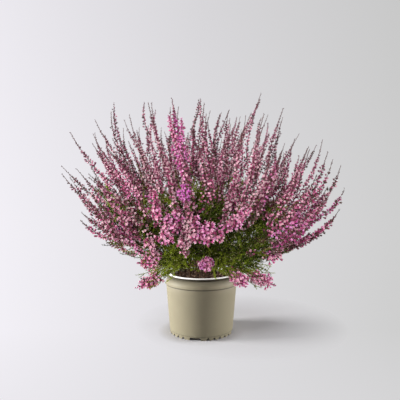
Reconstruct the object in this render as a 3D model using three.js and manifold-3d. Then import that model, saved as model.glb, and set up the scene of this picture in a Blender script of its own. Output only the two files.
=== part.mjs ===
// A flowering heather in a round nursery pot. Millimetres, +Z up.
// The origin is the middle of the pot's base, on the surface it stands on, and -Y is the plant's front.
//
// The pot is one moulded shell with a drained base. It holds one block of peat, and every shoot of the
// plant stands in a hole of its own in that peat. A shoot is two bodies, split where its colour changes:
// the leafy stem with its twig, and above it the spray of flower spikes.
import * as THREE from "three";
import { mergeVertices } from "three/addons/utils/BufferGeometryUtils.js";
import Module from "manifold-3d";

const wasm = await Module();
wasm.setup();

// Pot
const POT_SIDES = 30;
const POT_HEIGHT = 97.5;
const FOOT_RADIUS = 52.4;
const FOOT_HEIGHT = 6;
const BODY_BOTTOM_RADIUS = 53;
const BODY_TOP_RADIUS = 59.2;
const SHOULDER_RADIUS = 60;
const SHOULDER_BOTTOM = 80.4;
const NECK_RADIUS = 52.4;
const LIP_RADIUS = 54.6;
const LIP_HEIGHT = 3.2;
const WALL = 1.6;
const BASE_CLEARANCE = 5;
const BOSS_RADIUS = 16;
const DRAIN_COUNT = 6;
const DRAIN_RADIUS = 4;
const DRAIN_CIRCLE = 36;
const SLOT_COUNT = 4;
const SLOT_WIDTH = 17;
const SLOT_HEIGHT = 4.2;
const SLOT_HEADING = -101; // degrees, just left of the front
const NICKS_BETWEEN_SLOTS = 5;
const NICK_WIDTH = 2.8;
const NICK_HEIGHT = 1.9;

// Peat
const SEAT_GAP = 0.3;
const PEAT_LEVEL = 90;
const PEAT_CROWN = 3.5;
const PEAT_LUMPS = 1.1;

// Shoots. A shoot's spread is 0 on the plant's axis and 1 for an outermost one.
// Along a shoot, 0 is at the peat and 1 at a tip of usual length.
const SHOOT_COUNT = 22;
const WIDEST_SPREAD = 0.97;
const SHOOT_LENGTH = 282;
const MIDDLE_GAIN = 0.13; // share of the length that the shoots half way out have more
const OUTER_LOSS = 0.06; // share that the outermost lack
const STEM_CIRCLE = 31;
const BEND_END = 0.17;
const PEAK_LEAN = 87; // degrees from upright, on an outermost shoot
const TIP_LEAN = 31;
const FRONT_LIFT = 0.22; // share of the lean that the front shoots lack, so that they clear the pot's face
const FRONT_TRIM = 0.1; // share of their length that they lack
const GOLDEN_ANGLE = 137.508;
const STEM_RADIUS = 1.9;
const SOCKET_DEPTH = 16;
const SOCKET_GAP = 0.4;
const SOCKET_SIDES = 5;
const BLOOM_START = 0.38;
const NODE_GAP = 0.3;
const JOIN_TOLERANCE = 0.1;
const CUT_TOLERANCE = 0.05;

// Sway of the whole crown: how far, the heights between which it sets in, and its wavelengths over 2 pi
const SWAY = 9;
const SWAY_BOTTOM = 120;
const SWAY_TOP = 280;
const SWAY_ACROSS = 40;
const SWAY_UP = 60;
const SWAY_RIPPLE = 31;

// Needle leaves, in threes
const LEAVES_START = 0.1;
const NEEDLE_REACH = 5.4;
const NEEDLE_BASE = 2.6;
const NEEDLE_SPACING = 15;
const TWIG_RADIUS = 1.2;
const TWIGS = { count: 1, spread: 0.1, start: 0.15, step: 0.05, opening: 0.16, length: 0.13, more: 0.03 };

// Flower spikes: a middle one on each shoot, and side spikes that end below its tip
const MIDDLE_END = 0.94;
const MIDDLE_MORE = 0.08;
const FLOWER_REACH = 7.4;
const FLOWER_SPACING = 15.5;
const CORE_RADIUS = 2;
const SPIKES = { count: 4, spread: 0.125, start: 0.4, step: 0.035, opening: 0.28, end: 0.74, more: 0.22 };
const SIDE_SPIKE_SIZE = 0.86;
const LOW_SPIKE_SIZE = 1.25;

// Low sprays that lean out over the rim: heading in degrees, length, and steepest lean in degrees
const LOW_SPRAYS = [
  { heading: -172, length: 74, lean: 84 },
  { heading: -151, length: 84, lean: 112 },
  { heading: -84, length: 48, lean: 66 },
  { heading: -46, length: 66, lean: 108 },
  { heading: -15, length: 92, lean: 110 },
  { heading: 98, length: 90, lean: 106 },
];
const LOW_CIRCLE = 38;
const LOW_BEND_END = 34;
const LOW_LEAVES_START = 22;
const LOW_STEM_RADIUS = 1.5;
const LOW_FLOWER_SPACING = 5;

const degrees = Math.PI / 180;
const plastic = new THREE.MeshStandardMaterial({ color: 0xa39a80, roughness: 0.55, metalness: 0 });
const peatBrown = new THREE.MeshStandardMaterial({ color: 0x2b1a14, roughness: 0.95, metalness: 0 });
const leafGreen = new THREE.MeshStandardMaterial({ color: 0x55661c, roughness: 0.7, metalness: 0 });
const petalPink = new THREE.MeshStandardMaterial({ color: 0xc56a9c, roughness: 0.6, metalness: 0 });

const plant = new THREE.Group();

// A fixed number from 0 to 1 for each pair of keys, in place of a random draw.
function chance(key, salt) {
  const wave = Math.sin(key * 12.9898 + salt * 78.233) * 43758.5453;
  return wave - Math.floor(wave);
}

function smooth(value) {
  const clamped = Math.min(Math.max(value, 0), 1);
  return clamped * clamped * (3 - 2 * clamped);
}

// ---- Solids ----

function solidOf(geometry) {
  const bare = geometry.index ? geometry.toNonIndexed() : geometry;
  bare.deleteAttribute("normal");
  bare.deleteAttribute("uv");
  const merged = mergeVertices(bare, 1e-4);
  const corners = merged.index.array;
  const kept = [];
  for (let i = 0; i < corners.length; i += 3) {
    const [a, b, c] = [corners[i], corners[i + 1], corners[i + 2]];
    if (a !== b && b !== c && a !== c) kept.push(a, b, c);
  }
  const vertProperties = new Float32Array(merged.attributes.position.array);
  return new wasm.Manifold(new wasm.Mesh({ numProp: 3, vertProperties, triVerts: new Uint32Array(kept) }));
}

function drilled(solid, cuts) {
  return solid.subtract(wasm.Manifold.union(cuts)).simplify(CUT_TOLERANCE);
}

// The solids as one, with any hollow that the joining sealed filled in.
function joined(solids) {
  const bodies = wasm.Manifold.union(solids).simplify(JOIN_TOLERANCE).decompose();
  return bodies.reduce((largest, body) => (body.volume() > largest.volume() ? body : largest));
}

function addNode(name, solid, material) {
  const made = solid.getMesh();
  const places = new Float32Array(made.numVert * 3);
  for (let i = 0; i < made.numVert; i++) {
    places.set(made.vertProperties.subarray(i * made.numProp, i * made.numProp + 3), i * 3);
  }
  const geometry = new THREE.BufferGeometry();
  geometry.setAttribute("position", new THREE.BufferAttribute(places, 3));
  geometry.setIndex(new THREE.BufferAttribute(new Uint32Array(made.triVerts), 1));
  geometry.computeVertexNormals();
  const mesh = new THREE.Mesh(geometry, material);
  mesh.name = name;
  plant.add(mesh);
}

// A solid of revolution about +Z from (radius, height) pairs.
function turned(profile, sides) {
  const points = profile.map(([radius, height]) => new THREE.Vector2(radius, height));
  return new THREE.LatheGeometry(points, sides).rotateX(Math.PI / 2);
}

// ---- Pot ----

const baseTop = BASE_CLEARANCE + WALL;
const shoulderMiddle = SHOULDER_BOTTOM + 8;
const neckHeight = POT_HEIGHT - LIP_HEIGHT - 0.8;

function bodyRadius(height) {
  const share = (height - FOOT_HEIGHT) / (SHOULDER_BOTTOM - FOOT_HEIGHT);
  return BODY_BOTTOM_RADIUS + (BODY_TOP_RADIUS - BODY_BOTTOM_RADIUS) * share;
}

// The inside of the wall from its top down to the base, pushed inwards by a distance.
function insideWall(inset) {
  const push = WALL + inset;
  return [
    [NECK_RADIUS - push, neckHeight],
    [SHOULDER_RADIUS - 3.2 - push, shoulderMiddle],
    [SHOULDER_RADIUS - 0.4 - push, SHOULDER_BOTTOM + 2],
    [bodyRadius(baseTop) - push, baseTop + inset],
    [BOSS_RADIUS + 4.5 - inset, baseTop + inset],
    [BOSS_RADIUS + 1.2 - inset, WALL + inset],
    [0, WALL + inset],
  ];
}

function makePot() {
  const outside = [
    [0, 0],
    [BOSS_RADIUS, 0],
    [BOSS_RADIUS + 3, BASE_CLEARANCE],
    [FOOT_RADIUS - WALL - 0.2, BASE_CLEARANCE],
    [FOOT_RADIUS - WALL, 0],
    [FOOT_RADIUS, 0],
    [FOOT_RADIUS + 0.2, FOOT_HEIGHT - 0.6],
    [BODY_BOTTOM_RADIUS, FOOT_HEIGHT],
    [BODY_TOP_RADIUS, SHOULDER_BOTTOM - 0.4],
    [SHOULDER_RADIUS, SHOULDER_BOTTOM],
    [SHOULDER_RADIUS - 0.4, SHOULDER_BOTTOM + 4],
    [SHOULDER_RADIUS - 2.2, shoulderMiddle],
    [NECK_RADIUS, neckHeight],
    [LIP_RADIUS - 0.4, POT_HEIGHT - LIP_HEIGHT],
    [LIP_RADIUS, POT_HEIGHT - LIP_HEIGHT / 2],
    [LIP_RADIUS - 0.7, POT_HEIGHT - 0.3],
    [LIP_RADIUS - 2, POT_HEIGHT],
    [LIP_RADIUS - 3.4, POT_HEIGHT - 0.7],
  ];
  const shell = solidOf(turned([...outside, ...insideWall(0)], POT_SIDES));
  const cuts = [];
  for (let i = 0; i < DRAIN_COUNT; i++) {
    const drain = new THREE.CylinderGeometry(DRAIN_RADIUS, DRAIN_RADIUS, 3 * WALL, 8).rotateX(Math.PI / 2);
    drain.translate(DRAIN_CIRCLE, 0, BASE_CLEARANCE + WALL / 2).rotateZ((i / DRAIN_COUNT) * 2 * Math.PI);
    cuts.push(solidOf(drain));
  }
  const places = SLOT_COUNT * (NICKS_BETWEEN_SLOTS + 1);
  for (let i = 0; i < places; i++) {
    const isSlot = i % (NICKS_BETWEEN_SLOTS + 1) === 0;
    const half = (isSlot ? SLOT_WIDTH : NICK_WIDTH) / 2;
    const top = isSlot ? SLOT_HEIGHT : NICK_HEIGHT;
    const outline = new THREE.Shape([
      new THREE.Vector2(-half - 0.3 * top, -1),
      new THREE.Vector2(half + 0.3 * top, -1),
      new THREE.Vector2(half, top),
      new THREE.Vector2(-half, top),
    ]);
    const notch = new THREE.ExtrudeGeometry(outline, { depth: 4 * WALL, bevelEnabled: false });
    notch.rotateX(Math.PI / 2).rotateZ(Math.PI / 2).translate(FOOT_RADIUS - 3 * WALL, 0, 0);
    cuts.push(solidOf(notch.rotateZ((SLOT_HEADING + (i / places) * 360) * degrees)));
  }
  addNode("pot", drilled(shell, cuts), plastic);
}

// ---- Where a shoot runs ----

function peatHeight(spread) {
  return PEAT_LEVEL + PEAT_CROWN * (1 - spread * spread);
}

// How much a shoot counts as a front one, from 0 to 1.
function frontness(spread, heading) {
  return Math.max(0, -Math.sin(heading)) ** 3 * smooth(spread * 1.5);
}

function leanAt(spread, heading, along) {
  const peak = PEAK_LEAN * degrees * spread * (1 - FRONT_LIFT * frontness(spread, heading));
  const tip = TIP_LEAN * degrees * spread;
  if (along < BEND_END) return peak * smooth(along / BEND_END);
  return peak + (tip - peak) * ((along - BEND_END) / (1 - BEND_END));
}

// A slow drift of the whole crown, so that no two shoots curve alike and none cross.
function swayed({ x, y, z }) {
  const amount = SWAY * smooth((z - SWAY_BOTTOM) / (SWAY_TOP - SWAY_BOTTOM));
  const aside = Math.sin(y / SWAY_ACROSS + z / SWAY_UP) + 0.6 * Math.sin(z / SWAY_RIPPLE + 1);
  const back = Math.sin(x / SWAY_ACROSS - z / SWAY_UP + 2) + 0.6 * Math.sin(z / SWAY_RIPPLE);
  return new THREE.Vector3(x + amount * aside, y + amount * back, z);
}

function shootLength(spread, heading) {
  const trim = 1 - FRONT_TRIM * frontness(spread, heading);
  const gain = MIDDLE_GAIN * Math.sin(Math.PI * Math.min(spread, 1)) - OUTER_LOSS * spread * spread;
  return SHOOT_LENGTH * trim * (1 + gain);
}

// Where the point (x, y) of the unit disc is after it has grown along. Different points never meet.
function grown(x, y, along) {
  const spread = Math.hypot(x, y);
  const heading = Math.atan2(y, x);
  const length = shootLength(spread, heading);
  const steps = 24;
  let out = STEM_CIRCLE * spread;
  let up = peatHeight(spread);
  for (let i = 0; i < steps; i++) {
    const lean = leanAt(spread, heading, ((i + 0.5) / steps) * along);
    out += (Math.sin(lean) * along * length) / steps;
    up += (Math.cos(lean) * along * length) / steps;
  }
  return swayed(new THREE.Vector3(out * Math.cos(heading), out * Math.sin(heading), up));
}

function shootAt(index) {
  const spread = Math.sqrt((index + 0.5) / SHOOT_COUNT) * WIDEST_SPREAD;
  const heading = index * GOLDEN_ANGLE * degrees;
  return { x: spread * Math.cos(heading), y: spread * Math.sin(heading) };
}

// Points up a branch that leaves its shoot at branch.start and is at its own spread after branch.opening.
function branchPoints(shoot, branch, from, to, count) {
  return Array.from({ length: count }, (_, i) => {
    const along = from + ((to - from) * i) / (count - 1);
    const share = 1 - Math.min(Math.max((along - branch.start) / branch.opening, 0), 1);
    const away = 1 - share ** 3;
    return grown(shoot.x + branch.x * away, shoot.y + branch.y * away, along);
  });
}

function branchesOf(key, { count, spread, start, step, opening }) {
  return Array.from({ length: count }, (_, i) => {
    const heading = (i / count + chance(key, 1)) * 2 * Math.PI + 0.5 * (chance(key, 10 + i) - 0.5);
    const width = spread * (0.88 + 0.24 * chance(key, 20 + i));
    const offset = { x: width * Math.cos(heading), y: width * Math.sin(heading) };
    return { ...offset, start: start + step * i, opening, vigour: chance(key, 30 + i) };
  });
}

const straight = { x: 0, y: 0, start: 0, opening: 1 };

// ---- Stems with needles, and spikes of flowers ----

// A frame for each point: the way forward, and two directions across it that don't spin.
function framesAlong(points) {
  let side = new THREE.Vector3(0.31, 0.95, 0.02);
  return points.map((point, i) => {
    const before = points[Math.max(i - 1, 0)];
    const after = points[Math.min(i + 1, points.length - 1)];
    const forward = after.clone().sub(before).normalize();
    side = side.clone().addScaledVector(forward, -side.dot(forward)).normalize();
    return { point, forward, side, across: new THREE.Vector3().crossVectors(forward, side) };
  });
}

function placed({ point, forward, side, across }, turn, radius, rise) {
  const place = point.clone().addScaledVector(forward, rise);
  place.addScaledVector(side, radius * Math.cos(turn));
  return place.addScaledVector(across, radius * Math.sin(turn));
}

function solidFromFaces(faces) {
  const flat = faces.flatMap((face) => face.flatMap((corner) => corner.toArray()));
  const geometry = new THREE.BufferGeometry();
  geometry.setAttribute("position", new THREE.BufferAttribute(new Float32Array(flat), 3));
  return solidOf(geometry);
}

// A three-sided stem. From point number firstWhorl on, each point but the last has three needles,
// raised from the short faces below it.
function needleStem(points, radius, firstWhorl) {
  const rings = [];
  framesAlong(points).forEach((frame, i) => {
    const share = i / (points.length - 1);
    const thick = radius * (1 - 0.35 * share);
    const reach = NEEDLE_REACH * (1 - 0.2 * share);
    const around = (corner, distance, rise) =>
      placed(frame, (i / 6 + corner / 3) * 2 * Math.PI, distance, rise);
    const ring = (rise) => [0, 1, 2].map((corner) => around(corner, thick, rise));
    if (i >= firstWhorl && i < points.length - 1) {
      const needles = [0.5, 1.5, 2.5].map((corner) => around(corner, reach, 0.7 * reach));
      rings.push({ corners: ring(-NEEDLE_BASE), needles });
    }
    rings.push({ corners: ring(0) });
  });
  const faces = [];
  for (let i = 0; i < rings.length - 1; i++) {
    const { corners: low, needles } = rings[i];
    const high = rings[i + 1].corners;
    for (let corner = 0; corner < 3; corner++) {
      const next = (corner + 1) % 3;
      if (needles) {
        const tip = needles[corner];
        faces.push([low[corner], low[next], tip], [low[next], high[next], tip]);
        faces.push([high[next], high[corner], tip], [high[corner], low[corner], tip]);
      } else {
        faces.push([low[corner], low[next], high[corner]], [low[next], high[next], high[corner]]);
      }
    }
  }
  const bottom = rings[0].corners;
  const top = rings[rings.length - 1].corners;
  faces.push([bottom[2], bottom[1], bottom[0]], [top[0], top[1], top[2]]);
  return solidFromFaces(faces);
}

// A four-sided spike that is widest low down and draws out to a fine tip. From ring firstFlower on, two
// opposite corners of each ring stand out as flowers, and those of the next ring lie between them.
function flowerSpike(points, size, firstFlower) {
  const last = points.length - 1;
  const rings = framesAlong(points).map((frame, i) => {
    const share = i / last;
    const swell = smooth(share / 0.22 + 0.4) * (1 - smooth((share - 0.2) / 0.9));
    const reach = FLOWER_REACH * size * (0.16 + swell);
    const core = i === last ? 0.4 : CORE_RADIUS * Math.min(size, 1) * (1 - 0.6 * share);
    return [0, 1, 2, 3].map((corner) => {
      const turn = (corner / 4) * 2 * Math.PI + i * 0.5;
      const isFlower = i >= firstFlower && i < last && (corner + i) % 2 === 0;
      const rise = 0.45 * FLOWER_REACH * size;
      return isFlower ? placed(frame, turn, reach, rise) : placed(frame, turn, core, 0);
    });
  });
  const faces = [];
  for (let i = 0; i < last; i++) {
    const [low, high] = [rings[i], rings[i + 1]];
    for (let corner = 0; corner < 4; corner++) {
      const next = (corner + 1) % 4;
      if ((corner + i) % 2 === 0) {
        faces.push([low[corner], low[next], high[corner]], [low[next], high[next], high[corner]]);
      } else {
        faces.push([low[corner], low[next], high[next]], [low[corner], high[next], high[corner]]);
      }
    }
  }
  const [bottom, top] = [rings[0], rings[last]];
  faces.push([bottom[2], bottom[1], bottom[0]], [bottom[3], bottom[2], bottom[0]]);
  faces.push([top[0], top[1], top[2]], [top[0], top[2], top[3]]);
  return solidFromFaces(faces);
}

function pointCount(share, spacing) {
  return Math.max(3, Math.round((share * SHOOT_LENGTH) / spacing) + 1);
}

function label(index) {
  return String(index + 1).padStart(2, "0");
}

function makeLeafyStem(index) {
  const shoot = shootAt(index);
  const end = BLOOM_START - NODE_GAP / SHOOT_LENGTH;
  const foot = grown(shoot.x, shoot.y, 0);
  const buried = foot.clone().setZ(foot.z - SOCKET_DEPTH);
  const bare = branchPoints(shoot, straight, 0.03, LEAVES_START - 0.03, 2);
  const whorls = pointCount(end - LEAVES_START, NEEDLE_SPACING);
  const leafy = branchPoints(shoot, straight, LEAVES_START, end, whorls);
  const points = [buried, foot, ...bare, ...leafy];
  const parts = [needleStem(points, STEM_RADIUS, points.length - leafy.length)];
  for (const twig of branchesOf(index + 0.5, TWIGS)) {
    const length = TWIGS.length + TWIGS.more * twig.vigour;
    const count = pointCount(length, NEEDLE_SPACING);
    const twigPoints = branchPoints(shoot, twig, twig.start, twig.start + length, count);
    parts.push(needleStem(twigPoints, TWIG_RADIUS, 1));
  }
  addNode(`leafy_stem_${label(index)}`, joined(parts), leafGreen);
}

function makeFlowerSpray(index) {
  const shoot = shootAt(index);
  const tip = MIDDLE_END + MIDDLE_MORE * chance(index, 5);
  const count = pointCount(tip - BLOOM_START, FLOWER_SPACING);
  const parts = [flowerSpike(branchPoints(shoot, straight, BLOOM_START, tip, count), 1, 1)];
  for (const spike of branchesOf(index, SPIKES)) {
    const end = SPIKES.end + SPIKES.more * spike.vigour;
    const sideCount = pointCount(end - spike.start, FLOWER_SPACING * 1.35);
    parts.push(flowerSpike(branchPoints(shoot, spike, spike.start, end, sideCount), SIDE_SPIKE_SIZE, 2));
  }
  addNode(`flower_spray_${label(index)}`, joined(parts), petalPink);
}

// ---- Low sprays over the rim ----

function lowPoint({ heading, lean }, distance) {
  const steps = 20;
  let out = LOW_CIRCLE;
  let up = peatHeight(1);
  for (let i = 0; i < steps; i++) {
    const here = lean * degrees * smooth((((i + 0.5) / steps) * distance) / LOW_BEND_END);
    out += (Math.sin(here) * distance) / steps;
    up += (Math.cos(here) * distance) / steps;
  }
  return new THREE.Vector3(out * Math.cos(heading * degrees), out * Math.sin(heading * degrees), up);
}

function lowPoints(low, from, to, spacing) {
  const gaps = Math.max(2, Math.round((to - from) / spacing));
  return Array.from({ length: gaps + 1 }, (_, i) => lowPoint(low, from + ((to - from) * i) / gaps));
}

function makeLowSpray(low, index) {
  const bloomFrom = Math.max(low.length * 0.6, LOW_LEAVES_START + NEEDLE_SPACING);
  const foot = lowPoint(low, 0);
  const buried = foot.clone().setZ(foot.z - SOCKET_DEPTH);
  const bare = [buried, foot, lowPoint(low, LOW_LEAVES_START / 2)];
  const leafy = lowPoints(low, LOW_LEAVES_START, bloomFrom - NODE_GAP, NEEDLE_SPACING);
  const stem = needleStem([...bare, ...leafy], LOW_STEM_RADIUS, bare.length);
  addNode(`low_leafy_stem_${label(index)}`, stem, leafGreen);
  const bloom = lowPoints(low, bloomFrom, low.length, LOW_FLOWER_SPACING);
  addNode(`low_flower_spray_${label(index)}`, flowerSpike(bloom, LOW_SPIKE_SIZE, 1), petalPink);
}

// ---- Peat, with a socket for every stem ----

function makePeat() {
  const inside = insideWall(SEAT_GAP).reverse();
  const edge = inside[inside.length - 1][0];
  const top = [1, 0.7, 0.35, 0].map((share) => [(edge + 0.9) * share, peatHeight(share)]);
  const block = turned([...inside.slice(0, -1), ...top], POT_SIDES);
  const position = block.attributes.position;
  for (let i = 0; i < position.count; i++) {
    const [x, y, z] = [position.getX(i), position.getY(i), position.getZ(i)];
    if (z < PEAT_LEVEL - 0.01) continue;
    const lump = Math.sin(x * 0.41 + 1.3) * Math.cos(y * 0.47) + 0.6 * Math.sin(x * 0.83 - y * 0.71);
    position.setZ(i, z + (PEAT_LUMPS * lump) / 1.6);
  }
  const feet = Array.from({ length: SHOOT_COUNT }, (_, i) => grown(shootAt(i).x, shootAt(i).y, 0));
  feet.push(...LOW_SPRAYS.map((low) => lowPoint(low, 0)));
  const radius = (STEM_RADIUS + SOCKET_GAP) / Math.cos(Math.PI / SOCKET_SIDES);
  const height = SOCKET_DEPTH + 2 * PEAT_CROWN;
  const sockets = feet.map((foot) => {
    const socket = new THREE.CylinderGeometry(radius, radius, height, SOCKET_SIDES).rotateX(Math.PI / 2);
    return solidOf(socket.translate(foot.x, foot.y, foot.z - SOCKET_DEPTH - SEAT_GAP + height / 2));
  });
  addNode("peat", drilled(solidOf(block), sockets), peatBrown);
}

makePot();
makePeat();
for (let i = 0; i < SHOOT_COUNT; i++) {
  makeLeafyStem(i);
  makeFlowerSpray(i);
}
LOW_SPRAYS.forEach(makeLowSpray);

export default plant;
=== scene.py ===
from math import cos, floor, pi, radians, sin, sqrt

import bpy
import numpy as np
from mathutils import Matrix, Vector, noise


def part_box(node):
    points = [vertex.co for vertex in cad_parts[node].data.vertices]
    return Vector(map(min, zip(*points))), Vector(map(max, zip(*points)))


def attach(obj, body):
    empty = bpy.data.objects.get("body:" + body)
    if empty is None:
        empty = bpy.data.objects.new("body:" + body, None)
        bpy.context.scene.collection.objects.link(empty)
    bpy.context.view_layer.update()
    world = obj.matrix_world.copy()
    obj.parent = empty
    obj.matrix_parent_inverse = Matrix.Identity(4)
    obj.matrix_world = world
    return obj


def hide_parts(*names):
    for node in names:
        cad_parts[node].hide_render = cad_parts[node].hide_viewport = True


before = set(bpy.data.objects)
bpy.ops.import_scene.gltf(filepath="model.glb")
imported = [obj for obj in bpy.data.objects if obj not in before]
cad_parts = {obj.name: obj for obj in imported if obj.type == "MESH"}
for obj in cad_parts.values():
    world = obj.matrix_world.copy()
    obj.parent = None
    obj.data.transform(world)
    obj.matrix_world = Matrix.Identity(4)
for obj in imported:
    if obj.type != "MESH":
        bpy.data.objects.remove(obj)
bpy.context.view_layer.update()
scene = bpy.context.scene
millimetre = 0.001
print("frame loaded:", len(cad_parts), "nodes")


# An operator of Wire that adds a Math node. A reflected one has its terms the other way round.
def operator(operation, reflected=False):
    def applied(wire, other):
        terms = (other, wire) if reflected else (wire, other)
        return wire.graph.maths(operation, *terms)
    return applied


# A socket that adds its Math nodes when it stands in an expression.
class Wire:
    __add__, __radd__ = operator("ADD"), operator("ADD", True)
    __sub__, __rsub__ = operator("SUBTRACT"), operator("SUBTRACT", True)
    __mul__, __rmul__ = operator("MULTIPLY"), operator("MULTIPLY", True)
    __truediv__, __pow__ = operator("DIVIDE"), operator("POWER")
    __lt__, __gt__ = operator("LESS_THAN"), operator("GREATER_THAN")

    def __init__(self, graph, socket):
        self.graph = graph
        self.socket = socket


# A node tree, with one way to add any node to it.
class Graph:
    def __init__(self, tree):
        self.tree = tree

    def node(self, kind, settings=None, values=None, output=0):
        made = self.tree.nodes.new(kind)
        for name, setting in (settings or {}).items():
            if name == "stops":
                self.setStops(made.color_ramp, setting)
            else:
                setattr(made, name, setting)
        for key, value in (values or {}).items():
            self.feed(made.inputs[key], value)
        return Wire(self, made.outputs[output])

    def maths(self, operation, *terms):
        return self.node("ShaderNodeMath", {"operation": operation}, dict(enumerate(terms)))

    # The x, y and z of a vector, each on its own.
    def axes(self, vector):
        split = self.node("ShaderNodeSeparateXYZ", values={0: vector})
        return [Wire(self, socket) for socket in split.socket.node.outputs]

    def feed(self, socket, value):
        for each in value if isinstance(value, list) else [value]:
            if isinstance(each, Wire):
                self.tree.links.new(each.socket, socket)
            else:
                socket.default_value = each

    def setStops(self, ramp, stops):
        while len(ramp.elements) > 1:
            ramp.elements.remove(ramp.elements[-1])
        for number, (place, colour) in enumerate(stops):
            stop = ramp.elements.new(place) if number else ramp.elements[0]
            stop.position = place
            stop.color = colour


# A material. Values that never change over the surface are set on the shader's own sockets.
class Finish(Graph):
    def __init__(self, name, fixed):
        self.material = bpy.data.materials.new(name)
        self.material.use_nodes = True
        super().__init__(self.material.node_tree)
        self.shader = self.tree.nodes["Principled BSDF"]
        for socket, value in fixed.items():
            self.shader.inputs[socket].default_value = value

    def place(self):
        return self.node("ShaderNodeTexCoord", output="Object")

    def height(self):
        return self.axes(self.place())[2]

    def along(self, name):
        return self.node("ShaderNodeAttribute", {"attribute_name": name}, output="Fac")

    def grain(self, size, detail=2.0, rough=0.5):
        values = {"Vector": self.place(), "Scale": 1 / size, "Detail": detail, "Roughness": rough}
        return self.node("ShaderNodeTexNoise", values=values)

    # Start where the value is low or less, end where it is high or more, and in between on its way.
    def spread(self, value, low, high, start=0.0, end=1.0):
        return self.node("ShaderNodeMapRange", values={0: value, 1: low, 2: high, 3: start, 4: end})

    def mixed(self, share, first, second, way="MIX"):
        settings = {"data_type": "RGBA", "blend_type": way}
        return self.node("ShaderNodeMix", settings, {0: share, 6: first, 7: second}, 2)

    # The first colour where the value is at the part's start, and the second where it is at its end.
    def faded(self, value, part, first, second):
        return self.mixed(self.spread(value, *part), first, second)

    def ramp(self, value, stops):
        return self.node("ShaderNodeValToRGB", {"stops": stops}, {0: value})

    # The colour, with a share of it darkened to the grey where the grain is low.
    def mottled(self, colour, grain, share, low, high, grey):
        greys = self.ramp(grain, [(low, (grey, grey, grey, 1)), (high, (1, 1, 1, 1))])
        return self.mixed(share, colour, greys, "MULTIPLY")

    def surface(self, colour, rough, relief, depth, strength=1.0):
        values = {"Strength": strength, "Distance": depth, "Height": relief}
        bump = self.node("ShaderNodeBump", values=values)
        for socket, value in {"Base Color": colour, "Roughness": rough, "Normal": bump}.items():
            self.feed(self.shader.inputs[socket], value)
        return self.material


# A Geometry Nodes tree with an input named after each of the values that it will get.
class Recipe(Graph):
    kinds = {bpy.types.Object: "Object", bpy.types.Material: "Material", float: "Float", int: "Int"}

    def __init__(self, name, values):
        super().__init__(bpy.data.node_groups.new(name, "GeometryNodeTree"))
        face = self.tree.interface
        face.new_socket("Geometry", in_out="INPUT", socket_type="NodeSocketGeometry")
        for label, value in values.items():
            face.new_socket(label, in_out="INPUT", socket_type="NodeSocket" + self.kinds[type(value)])
        face.new_socket("Geometry", in_out="OUTPUT", socket_type="NodeSocketGeometry")
        entry = self.tree.nodes.new("NodeGroupInput")
        self.given = {socket.name: Wire(self, socket) for socket in entry.outputs if socket.name}

    def named(self, name):
        return self.node("GeometryNodeInputNamedAttribute", {"data_type": "FLOAT"}, {0: name})

    def random(self, low, high, salt):
        values = {2: low, 3: high, "Seed": self.given["Seed"] + salt}
        return self.node("FunctionNodeRandomValue", {"data_type": "FLOAT"}, values, 1)

    def turned(self, rotation, axis, angle):
        twist = self.node("FunctionNodeAxisAngleToRotation", values={"Axis": axis, "Angle": angle})
        return self.node("FunctionNodeRotateRotation", {"rotation_space": "LOCAL"}, {0: rotation, 1: twist})

    def tilted(self, turns):
        vector = self.node("ShaderNodeCombineXYZ", values=turns)
        return self.node("FunctionNodeEulerToRotation", values={0: vector})

    def stored(self, geometry, name, value):
        settings = {"data_type": "FLOAT", "domain": "POINT"}
        return self.node("GeometryNodeStoreNamedAttribute", settings, {0: geometry, 2: name, 3: value})

    # A copy of an object at each selected point, as real geometry.
    def copies(self, points, selection, thing, rotation, scale=(1, 1, 1)):
        shape = self.node("GeometryNodeObjectInfo", values={"Object": thing}, output="Geometry")
        values = {0: points, 1: selection, 2: shape, "Rotation": rotation, "Scale": scale}
        placed = self.node("GeometryNodeInstanceOnPoints", values=values)
        return self.node("GeometryNodeRealizeInstances", values={0: placed})

    def painted(self, geometry, material):
        return self.node("GeometryNodeSetMaterial", values={0: geometry, 2: material})

    # A three-sided tube along the lines, as thick as they say.
    def stem(self, curve, material):
        ring = self.node("GeometryNodeCurvePrimitiveCircle", values={"Resolution": 3, "Radius": 1.0})
        values = {0: curve, 1: ring, "Scale": self.named("thick"), "Fill Caps": True}
        tube = self.node("GeometryNodeCurveToMesh", values=values)
        return self.painted(self.node("GeometryNodeSetShadeSmooth", values={0: tube}), material)

    def done(self, parts):
        whole = self.node("GeometryNodeJoinGeometry", values={0: parts})
        leave = self.tree.nodes.new("NodeGroupOutput")
        self.feed(leave.inputs[0], whole)
        return self.tree


plantPieces = bpy.data.collections.new("plant pieces")
groundPieces = bpy.data.collections.new("pot, peat and floor")
rimPieces = bpy.data.collections.new("pot and peat")


# Grows a recipe on a carrier mesh into a plain mesh piece that stands for a node, and counts its triangles.
def makePiece(name, carrier, tree, values, slot, node):
    piece = bpy.data.objects.new(name, carrier)
    scene.collection.objects.link(piece)
    modifier = piece.modifiers.new(tree.name, "NODES")
    modifier.node_group = tree
    for item in tree.interface.items_tree:
        if item.in_out == "INPUT" and item.name in values:
            modifier[item.identifier] = values[item.name]
    depsgraph = bpy.context.evaluated_depsgraph_get()
    evaluated = piece.evaluated_get(depsgraph)
    plain = bpy.data.meshes.new_from_object(evaluated, preserve_all_data_layers=True, depsgraph=depsgraph)
    piece.modifiers.clear()
    piece.data = plain
    plain.name = name
    bpy.data.meshes.remove(carrier)
    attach(piece, "root")
    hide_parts(node)
    for collection in (groundPieces, rimPieces) if slot in ("pot", "peat") else (plantPieces,):
        collection.objects.link(piece)
    plain.calc_loop_triangles()
    return len(plain.loop_triangles)


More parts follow.
